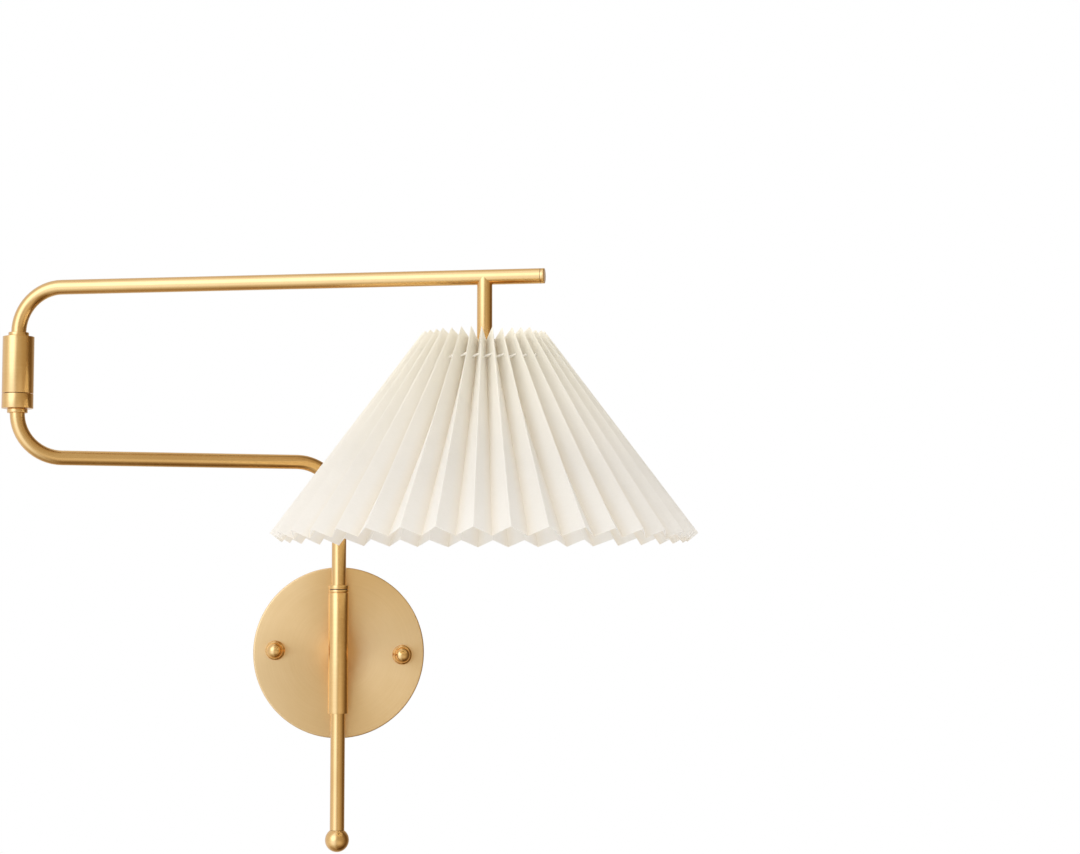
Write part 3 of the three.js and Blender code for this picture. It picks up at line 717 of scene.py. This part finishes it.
def arm_end_cap():
    """A thin flat cap with a spigot in the end of the tube."""
    spigot_r, spigot_end, back, front = TUBE_R - TUBE_WALL, -4, 0.1, 2.7
    outline = [(spigot_r, spigot_end), (spigot_r, back), (TUBE_R, back), (TUBE_R, front), (0, front)]
    along = UPPER_FRAME @ Matrix.Translation((UPPER_ARM * MM, 0, UPPER_ARM_Z * MM))
    place = along @ Matrix.Rotation(math.radians(90), 4, "Y")
    turned_brass_piece("arm_end_cap_fine", outline, place, "upper_arm", closed=False, sides=48)


def head_height(node):
    """A node's lowest and highest place, measured from the upper arm's centre line."""
    low, high = span(node, Z)
    return low - UPPER_ARM_Z, high - UPPER_ARM_Z


def outer_radius(node):
    """The outer radius of a node that is round about the shade's axis."""
    corners = [vertex.co for vertex in frame["nodes"][node].data.vertices]
    return max(math.hypot(co.x - shade_axis.x, co.y - shade_axis.y) for co in corners) / MM


def shade_stem():
    """The drop tube, coped to the arm at its top."""
    foot = head_height("shade_stem")[0]
    outline = [(TUBE_R - TUBE_WALL, foot), (TUBE_R, foot), (TUBE_R, 0)]
    mesh = turned_mesh("shade_stem_fine", outline, closed=False)
    cope(mesh, 0, lambda x, y: -math.sqrt(max(0, TUBE_R ** 2 - y ** 2)))
    new_piece(mesh, HEAD_FRAME, "upper_arm", DRAWN_BRASS)


def socket_cap():
    """A collar round the stem, a cone and a skirt over the lampholder."""
    foot, top = head_height("socket_cap")
    holder_top = head_height("lampholder")[1]
    holder_r = outer_radius("lampholder")
    wall, collar_r, skirt_r = 1.5, 7.6, holder_r + 0.5
    cone_foot, cone_top = holder_top + 1, top - 4.4
    outline = [
        (TUBE_R + SEAT, top),
        (TUBE_R + SEAT, cone_top),
        (skirt_r - 1.6, cone_foot + 1.6),
        (skirt_r, cone_foot),
        (skirt_r, foot),
        (skirt_r + wall, foot),
        (skirt_r + wall, cone_foot + 0.5),
        (skirt_r - 1.2, cone_foot + 1.6 + wall),
        (collar_r, cone_top + wall),
        (collar_r, top),
    ]
    turned_brass_piece("socket_cap_fine", outline, HEAD_FRAME, "upper_arm", edge=0.6)


def threads(radius, depth, low, high, pitch):
    """Outline points of a rounded screw thread up a straight side."""
    quarters = 4 * max(1, round((high - low) / pitch))
    step = (high - low) / quarters
    depths = [depth * (0.5 - 0.5 * math.cos(math.pi * i / 2)) for i in range(quarters + 1)]
    return [(radius - cut, low + step * i) for i, cut in enumerate(depths)]


def lampholder():
    """A moulded body, threaded outside for the shade's ring nut, with a well for the bulb's base."""
    foot, top = head_height("lampholder")
    outer = outer_radius("lampholder")
    step, well_r, well_top, bore_r = top - 27, 14.4, top - 9, 2.6
    outline = [
        (bore_r, top),
        (outer, top),
        *reversed(threads(outer, 0.6, step + 1, top - 4, 2.5)),
        (outer, step),
        (outer - 1, step - 1),
        (outer - 1, foot),
        (well_r, foot),
        (well_r, well_top),
        (bore_r, well_top),
    ]
    mesh = turned_mesh("lampholder_fine", outline, edge=0.3)
    new_piece(mesh, HEAD_FRAME, "upper_arm", WHITE_PLASTIC)


def shade_ring_nut():
    """A moulded ring with grip ribs round it."""
    ribs, rib_depth = 36, 0.5
    low, high = head_height("shade_ring_nut")
    outer, inner = outer_radius("shade_ring_nut"), 19.6
    outline = [(inner, low), (outer, low), (outer, high - 1), (outer, high), (inner, high)]
    mesh = turned_mesh("shade_ring_nut_fine", outline, sides=144, edge=0.5)
    for vertex in mesh.vertices:
        out = math.hypot(vertex.co.x, vertex.co.y) / MM
        turn = math.atan2(vertex.co.y, vertex.co.x)
        if out > outer - 0.3:
            keep = 1 - rib_depth * (0.5 + 0.5 * math.cos(ribs * turn)) / out
            vertex.co.x *= keep
            vertex.co.y *= keep
    new_piece(mesh, HEAD_FRAME, "upper_arm", WHITE_PLASTIC)


def shade_carrier():
    """A flat ring on three spokes from a hub."""
    low, high = (z * MM for z in head_height("shade_carrier"))
    hub_in, hub_out, rim_in = 19.7, 23.6, 33.9
    rim_out = outer_radius("shade_carrier")
    spokes, spoke_half, sides = 3, 2.6, 144
    made = bmesh.new()
    lower, upper = {}, {}
    radii = [hub_in, hub_out, rim_in, rim_out]

    def corner(ring, k):
        """The lower and upper vertex at a radius and a step of the turn."""
        turn = 2 * math.pi * (k % sides) / sides
        key = (ring, k % sides)
        if key not in lower:
            x, y = radii[ring] * math.cos(turn) * MM, radii[ring] * math.sin(turn) * MM
            lower[key] = made.verts.new((x, y, low))
            upper[key] = made.verts.new((x, y, high))
        return lower[key], upper[key]

    half_steps = round(sides * spoke_half / (2 * math.pi * hub_out))
    for k in range(sides):
        nearest = round(k * spokes / sides) * sides / spokes
        in_spoke = -half_steps <= k - nearest < half_steps
        for ring in range(len(radii) - 1):
            if radii[ring] == hub_out and not in_spoke:
                continue  # open between hub and rim
            corners = [corner(ring, k), corner(ring, k + 1), corner(ring + 1, k + 1), corner(ring + 1, k)]
            made.faces.new([c[0] for c in reversed(corners)])
            made.faces.new([c[1] for c in corners])
    above = {lower[key]: upper[key] for key in lower}
    for rim in [edge for edge in made.edges if edge.is_boundary]:
        a, b = rim.verts
        if a in above:
            made.faces.new((a, b, above[b], above[a]))
    grain = [(v.co.x / MM / rim_out, v.co.y / MM / rim_out, v.co.z / MM) for v in made.verts]
    mesh = finished_mesh("shade_carrier_fine", made, grain)
    piece = new_piece(mesh, HEAD_FRAME, "upper_arm", TURNED_BRASS)
    soften(piece, 0.3)


def soften(piece, width, segments=2):
    """A small bevel on a piece's crisp edges."""
    bevel = piece.modifiers.new("soften", "BEVEL")
    bevel.width = width * MM
    bevel.segments = segments
    bevel.limit_method = "ANGLE"
    bevel.angle_limit = math.radians(40)
    bevel.harden_normals = True


def bulb():
    """A globe bulb: a threaded base with a contact tip, and the glass."""
    low, high = head_height("bulb_base")
    tip_r, shoulder_r, thread_r = 3.6, 11.6, 13.0
    outline = [
        (0, high),
        (tip_r, high),
        (tip_r + 1.4, high - 2),
        (shoulder_r, high - 5),
        *reversed(threads(thread_r, 0.9, low + 2, high - 6.5, 3.6)),
        (thread_r - 0.6, low),
    ]
    mesh = turned_mesh("bulb_base_fine", outline, closed=False)
    new_piece(mesh, HEAD_FRAME, "upper_arm", PLATED_STEEL)
    globe_low, neck_top = head_height("bulb_glass")
    globe_r, neck_r = 22.5, 11.9
    centre = globe_low + globe_r
    shoulder = math.degrees(math.acos((neck_r + 1.1) / globe_r))
    outline = [(neck_r - 0.9, neck_top), (neck_r, neck_top), *arc(0, centre, globe_r, shoulder, -90, 40)]
    mesh = turned_mesh("bulb_glass_fine", outline, closed=False, edge=1.5)
    new_piece(mesh, HEAD_FRAME, "upper_arm", OPAL_GLASS)


# ---------------------------------------------------------------- pleated shade

PLEATS = 38
FIRST_FOLD = math.radians(3.2)  # where the first outer fold stands
TOP_OUTER = (40.8, -37.3)  # radius and height of the outer folds' tops, from the upper arm's centre line
TOP_INNER = (29.9, -45.5)
FOOT_OUTER = (137.0, -167.7)
FOOT_INNER = (130.2, -172.9)
PAPER_THICK = 0.38
OVAL = 1.2  # how far the foot bulges along X of the row and is drawn in along Y, in mm
PANEL_WIDE, PANEL_LONG = 14, 162  # a panel's round size in mm, which spaces the grain on the paper
HOLE_ACROSS = 0.6  # the hole's place across a panel, as a share of the way from one fold to the next
HOLE_DOWN = 0.116  # its place down the panel
HOLE_CELL = 0.014  # half the height of the panel's cell that the hole is in
HOLE_R = 1.0
THREAD_R = 0.8
HEAD_TURN = math.atan2((shade_axis - elbow).y, (shade_axis - elbow).x)  # the upper arm's direction


def fold_lines():
    """Each fold as its top and foot points, with the small unevenness of hand folding."""
    uneven = random.Random(5)
    lines = []
    for i in range(2 * PLEATS):
        outward = i % 2 == 0
        (top_r, top_z), (foot_r, foot_z) = (TOP_OUTER, FOOT_OUTER) if outward else (TOP_INNER, FOOT_INNER)
        turn = FIRST_FOLD + math.pi * i / PLEATS
        top_turn = turn + math.radians(uneven.gauss(0, 0.22))
        foot_turn = turn + math.radians(uneven.gauss(0, 0.16))
        foot_r += uneven.gauss(0, 0.35)
        top_r += uneven.gauss(0, 0.25)
        top_z += uneven.gauss(0, 0.3)
        foot_r += OVAL * math.cos(2 * foot_turn + 2 * HEAD_TURN)
        top = Vector((top_r * math.cos(top_turn), top_r * math.sin(top_turn), top_z))
        foot = Vector((foot_r * math.cos(foot_turn), foot_r * math.sin(foot_turn), foot_z))
        lines.append((top, foot))
    return lines


def panel_point(left, right, across, down, bow=0.0):
    """A point of the panel between two folds. bow lifts its middle off the flat."""
    a = left[0].lerp(left[1], down)
    b = right[0].lerp(right[1], down)
    point = a.lerp(b, across)
    if bow:
        normal = (b - a).cross(left[1] - left[0]).normalized()
        point += normal * bow * math.sin(math.pi * across) * math.sin(math.pi * down)
    return point


def pleated_shade():
    """One long folded strip, closed on itself, with a hole for the thread in every panel near the top.

    Returns the piece, the strip's flat size in metres and the holes' centres in mm.
    """
    lines = fold_lines()
    uneven = random.Random(11)
    folds = len(lines)
    made = bmesh.new()
    grain, hole_centres = [], []
    across_steps = [0.0, 0.04, 0.2, 0.42, 0.78, 0.96, 1.0]
    down_steps = [0.0, 0.03, HOLE_DOWN - HOLE_CELL, HOLE_DOWN + HOLE_CELL]
    rows = 16  # below the hole
    down_steps += [HOLE_DOWN + HOLE_CELL + (1 - HOLE_DOWN - HOLE_CELL) * i / rows for i in range(1, rows + 1)]
    hole_column, hole_row = 3, 2
    shared = {}

    def store_grain(fold, across, down):
        """How far round the strip, how far in from the outer fold, from 0 to 1, and how far down."""
        inward = across if fold % 2 == 0 else 1 - across
        grain.append((fold * PANEL_WIDE + across * PANEL_WIDE, inward, down * PANEL_LONG))

    def vertex(fold, column, row, bow):
        """A grid point of a panel. The first and last columns lie on folds, so two panels share them."""
        if column == len(across_steps) - 1:
            fold, column = (fold + 1) % folds, 0
        key = (fold, column, row)
        if key not in shared:
            left, right = lines[fold], lines[(fold + 1) % folds]
            point = panel_point(left, right, across_steps[column], down_steps[row], bow)
            shared[key] = made.verts.new(point * MM)
            store_grain(fold, across_steps[column], down_steps[row])
        return shared[key]

    def punch(fold, corners, left, right):
        """A round hole in the cell between four corners."""
        centre = panel_point(left, right, HOLE_ACROSS, HOLE_DOWN)
        hole_centres.append(centre)
        along = (panel_point(left, right, HOLE_ACROSS, HOLE_DOWN + 0.01) - centre).normalized()
        over = (panel_point(left, right, HOLE_ACROSS + 0.01, HOLE_DOWN) - centre).normalized()
        over = (over - along * over.dot(along)).normalized()
        ring = []
        for k in range(8):
            turn = math.radians(-157.5 + 45 * k)  # two corners of the octagon for each side of the cell
            point = centre + (over * math.cos(turn) + along * math.sin(turn)) * HOLE_R
            ring.append(made.verts.new(point * MM))
            store_grain(fold, HOLE_ACROSS, HOLE_DOWN)
        for side in range(4):
            a, b = corners[side], corners[(side + 1) % 4]
            start, end = ring[(2 * side + 1) % 8], ring[(2 * side + 2) % 8]
            made.faces.new((a, b, end, start))
            made.faces.new((b, ring[(2 * side + 3) % 8], end))

    for fold in range(folds):
        left, right = lines[fold], lines[(fold + 1) % folds]
        bow = uneven.gauss(0.0, 0.3)
        for row in range(len(down_steps) - 1):
            for column in range(len(across_steps) - 1):
                cell = [(column, row), (column + 1, row), (column + 1, row + 1), (column, row + 1)]
                corners = [vertex(fold, c, r, bow) for c, r in cell]
                if (column, row) == (hole_column, hole_row):
                    punch(fold, corners, left, right)
                else:
                    made.faces.new(corners)
    made.edges.index_update()
    rim = [edge.index for edge in made.edges if edge.is_boundary]
    mesh = finished_mesh("pleated_shade_fine", made, grain, crisp_angle=25)
    for index in rim:
        mesh.edges[index].use_edge_sharp = True
    piece = new_piece(mesh, HEAD_FRAME, "upper_arm", PAPER)
    thick = piece.modifiers.new("paper", "SOLIDIFY")
    thick.thickness = PAPER_THICK * MM
    thick.offset = 0
    panel_wide = (lines[0][0] - lines[1][0]).length
    slant = (lines[0][1] - lines[0][0]).length
    flat = (folds * panel_wide * MM, slant * MM)
    return piece, flat, hole_centres


def shade_thread(centres):
    """The cotton thread, drawn tight from hole to hole all the way round."""
    sides = 10
    made = bmesh.new()
    grain, rings = [], []
    travelled = 0.0
    count = len(centres)
    spaced = []
    for i, point in enumerate(centres):
        nxt = centres[(i + 1) % count]
        spaced += [point, point.lerp(nxt, 0.5)]
    for i, point in enumerate(spaced):
        way = (spaced[(i + 1) % len(spaced)] - spaced[i - 1]).normalized()
        out = Vector((point.x, point.y, 0)).normalized()
        out = (out - way * out.dot(way)).normalized()
        rings.append(path_ring(made, grain, point, out, way.cross(out), THREAD_R, sides, travelled))
        travelled += (spaced[(i + 1) % len(spaced)] - point).length
    for lower, upper in zip(rings, rings[1:] + rings[:1]):
        join_rings(made, lower, upper, sides)
    mesh = finished_mesh("shade_thread_fine", made, grain)
    return new_piece(mesh, HEAD_FRAME, "upper_arm", THREAD)


# ---------------------------------------------------------------- CAD nodes that stay, with their materials

def kept_nodes():
    """Each kept node's material."""
    steel = ["wall_bracket", "bracket_stud_left", "bracket_stud_right", "standoff_washer", "standoff_nut"]
    steel += ["elbow_nipple", "elbow_spring_washer", "elbow_nut", "elbow_stop_pin"]
    nylon = ["sleeve_bush_top", "sleeve_bush_bottom", "swivel_washer", "elbow_thrust_washer"]
    nylon += ["live_connector", "neutral_connector"]
    return {
        **dict.fromkeys(steel, PLATED_STEEL),
        **dict.fromkeys(nylon, BLACK_NYLON),
        **dict.fromkeys(["lower_lead", "upper_lead", "stem_lead"], CLEAR_LEAD),
        **dict.fromkeys(["ground_lead", "ground_screw"], GREEN_WIRE),
        **dict.fromkeys(["lampholder_shell", "lampholder_contact"], CONTACT_BRASS),
        "live_lead": BLACK_WIRE,
        "neutral_lead": WHITE_WIRE,
        "bulb_core": WHITE_PLASTIC,
    }


def finish_kept_nodes():
    for name, material in kept_nodes().items():
        materials = frame["nodes"][name].data.materials
        materials.clear()
        materials.append(material)


# ---------------------------------------------------------------- room: camera, light and floor

def camera():
    """Stands 1.6 m off the wall, a little below the middle, and looks up and to the right."""
    view = bpy.data.cameras.new("camera")
    view.lens = 74.41
    view.sensor_width = 36
    view.clip_end = 50
    holder = bpy.data.objects.new("camera", view)
    bpy.context.scene.collection.objects.link(holder)
    holder.location = (0.02138, -1.60842, 0.03284)
    yaw, pitch = math.radians(4.354), math.radians(4.579)
    way = Vector((math.sin(yaw) * math.cos(pitch), math.cos(yaw) * math.cos(pitch), math.sin(pitch)))
    holder.rotation_euler = way.to_track_quat("-Z", "Y").to_euler()
    bpy.context.scene.camera = holder


def area_light(name, place, aim, size, power):
    """A soft light that doesn't show in reflections."""
    light = bpy.data.lights.new(name, "AREA")
    light.shape = "RECTANGLE"
    light.size, light.size_y = size
    light.energy = power
    holder = bpy.data.objects.new(name, light)
    bpy.context.scene.collection.objects.link(holder)
    holder.location = place
    holder.rotation_euler = (Vector(aim) - Vector(place)).to_track_quat("-Z", "Y").to_euler()
    holder.visible_glossy = False


def studio_way(azimuth, elevation):
    """A direction: azimuth in degrees from the camera's side of the room, to the right, and elevation."""
    a, e = math.radians(azimuth), math.radians(elevation)
    return (math.sin(a) * math.cos(e), -math.cos(a) * math.cos(e), math.sin(e))


def room_ramp(tree, place, colours):
    """Colours by place between 0 and 1, smoothly."""
    ramp = add_node(tree, "ShaderNodeValToRGB", {"Fac": place})
    ramp.color_ramp.interpolation = "EASE"
    stops = ramp.color_ramp.elements
    while len(stops) < len(colours):
        stops.new(0.5)
    for stop, (at, colour) in zip(list(stops), colours):
        stop.position = at
        stop.color = (*colour, 1)
    return ramp.outputs["Color"]


def glow(tree, way, towards, half_angle, colour):
    """A soft round patch of light on the room, centred on a direction."""
    inputs = {0: way, 1: studio_way(*towards)}
    facing = add_node(tree, "ShaderNodeVectorMath", inputs, operation="DOT_PRODUCT").outputs["Value"]
    inputs = {"Value": facing, "From Min": math.cos(math.radians(half_angle)), "From Max": 1.0}
    made = add_node(tree, "ShaderNodeMapRange", inputs, interpolation_type="SMOOTHSTEP").outputs["Result"]
    return add_node(tree, "ShaderNodeVectorMath", {0: made, 1: colour}, operation="MULTIPLY").outputs[0]


def reflected_room(tree, way):
    """What polished pieces mirror: windows at the front left, a dark corner at the right, a warm floor."""
    parts = add_node(tree, "ShaderNodeSeparateXYZ", {0: way})
    ahead = add_node(tree, "ShaderNodeMath", {0: parts.outputs["Y"], 1: -1.0}, operation="MULTIPLY")
    turn = add_node(tree, "ShaderNodeMath", {0: parts.outputs["X"], 1: ahead.outputs[0]}, operation="ARCTAN2")
    turn = between(tree, turn.outputs[0], 0.0, 1.0, -math.pi, math.pi)
    window, window_side, left_wall = (1.15, 1.4, 2.1), (1.0, 1.1, 1.4), (0.8, 0.83, 0.98)
    front_wall, right_wall = (0.59, 0.57, 0.55), (0.48, 0.41, 0.32)
    corner, far_wall, behind = (0.16, 0.105, 0.05), (0.36, 0.3, 0.24), (0.72, 0.7, 0.68)
    around = [(-180, behind), (-120, left_wall), (-88, left_wall), (-66, window_side), (-50, window)]
    around += [(-32, window), (4, front_wall), (50, right_wall), (98, corner), (114, corner)]
    around += [(140, far_wall), (180, behind)]
    colours = room_ramp(tree, turn, [((angle + 180) / 360, colour) for angle, colour in around])
    rise = between(tree, parts.outputs["Z"], 0.0, 1.0, -1.0, 1.0)
    storeys = [(0.0, (0.42, 0.32, 0.2)), (0.1, (0.6, 0.52, 0.4)), (0.2, (0.92, 0.88, 0.82))]
    storeys += [(0.32, (1.05, 1.05, 1.05)), (0.5, (1, 1, 1)), (1.0, (1, 1, 1))]
    tints = room_ramp(tree, rise, storeys)
    total = add_node(tree, "ShaderNodeVectorMath", {0: colours, 1: tints}, operation="MULTIPLY").outputs[0]
    high_window = ((-38, 22), 34, (0.75, 0.92, 1.4))
    lower_front = ((26, -26), 32, (0.22, 0.24, 0.3))
    for towards, half_angle, colour in (high_window, lower_front):
        patch = glow(tree, way, towards, half_angle, colour)
        total = add_node(tree, "ShaderNodeVectorMath", {0: total, 1: patch}, operation="ADD").outputs[0]
    return add_node(tree, "ShaderNodeBackground", {"Color": total, "Strength": 1.0}).outputs[0]


def soft_daylight(tree, way):
    """What lights matt pieces: soft, stronger from the left than from the right, and pinkish from below."""
    parts = add_node(tree, "ShaderNodeSeparateXYZ", {0: way})
    rise = between(tree, parts.outputs["Z"], 0.0, 1.0, -0.8, 0.6)
    colour = blend_colours(tree, rise, (0.88, 0.83, 0.88), (1.02, 1.01, 0.99))
    strength = between(tree, parts.outputs["X"], 1.4, 0.78, -1.0, 1.0)
    return add_node(tree, "ShaderNodeBackground", {"Color": colour, "Strength": strength}).outputs[0]


def surroundings():
    """White to the camera, a studio to reflections, and soft daylight to everything else."""
    world = bpy.data.worlds.new("studio")
    bpy.context.scene.world = world
    world.use_nodes = True
    world.cycles.sampling_method = "NONE"  # so that each kind of ray sees only its own surroundings
    tree = world.node_tree
    tree.nodes.clear()
    way = add_node(tree, "ShaderNodeTexCoord").outputs["Generated"]
    ray = add_node(tree, "ShaderNodeLightPath").outputs
    inputs = {"Fac": ray["Is Glossy Ray"], 1: soft_daylight(tree, way), 2: reflected_room(tree, way)}
    room = add_node(tree, "ShaderNodeMixShader", inputs)
    white = add_node(tree, "ShaderNodeBackground", {"Color": (1, 1, 1, 1), "Strength": 1.0})
    inputs = {"Fac": ray["Is Camera Ray"], 1: room.outputs[0], 2: white.outputs[0]}
    mixed = add_node(tree, "ShaderNodeMixShader", inputs)
    output = add_node(tree, "ShaderNodeOutputWorld")
    tree.links.new(mixed.outputs[0], output.inputs["Surface"])


def floor():
    """A pale round floor well below the lamp."""
    top, flat_r, edge_r = -600, 3200, 3500
    outline = [(0, top), (flat_r, top), (edge_r, top - 15)]
    mesh = turned_mesh("floor", outline, closed=False, sides=128, edge=5)
    material, tree, shader = fresh_material("pale_floor")
    clouds = noise(tree, object_place(tree), 3.0, 4.0)
    colour = blend_colours(tree, between(tree, clouds, 0, 1), (0.84, 0.84, 0.835), (0.88, 0.88, 0.875))
    tree.links.new(colour, shader.inputs["Base Color"])
    shader.inputs["Roughness"].default_value = 0.7
    mesh.materials.append(material)
    disc = bpy.data.objects.new("floor", mesh)
    bpy.context.scene.collection.objects.link(disc)
    disc.visible_glossy = False


# ---------------------------------------------------------------- making

def make_wall_mount():
    canopy()
    cap_nut("left")
    cap_nut("right")
    standoff()
    swivel_sleeve()


def make_lower_arm():
    lower_tube()
    ball_finial()
    stop_collar()
    elbow_collar("elbow_lower_collar", "lower_arm")
    elbow_ring()


def make_upper_arm():
    elbow_housing()
    elbow_top_plug()
    elbow_collar("elbow_upper_collar", "upper_arm")
    upper_tube()
    arm_end_cap()
    shade_stem()
    socket_cap()
    lampholder()
    shade_ring_nut()
    shade_carrier()
    bulb()
    shade, flat, holes = pleated_shade()
    thread = shade_thread(holes)


camera()
surroundings()
floor()
area_light("key", place=(-1.6, -1.5, 1.3), aim=(0, -0.1, 0.1), size=(1.2, 1.2), power=12)
make_wall_mount()
make_lower_arm()
make_upper_arm()
finish_kept_nodes()

bpy.context.scene.view_settings.view_transform = "Standard"  # colours come out as they are mixed
bpy.context.view_layer.update()
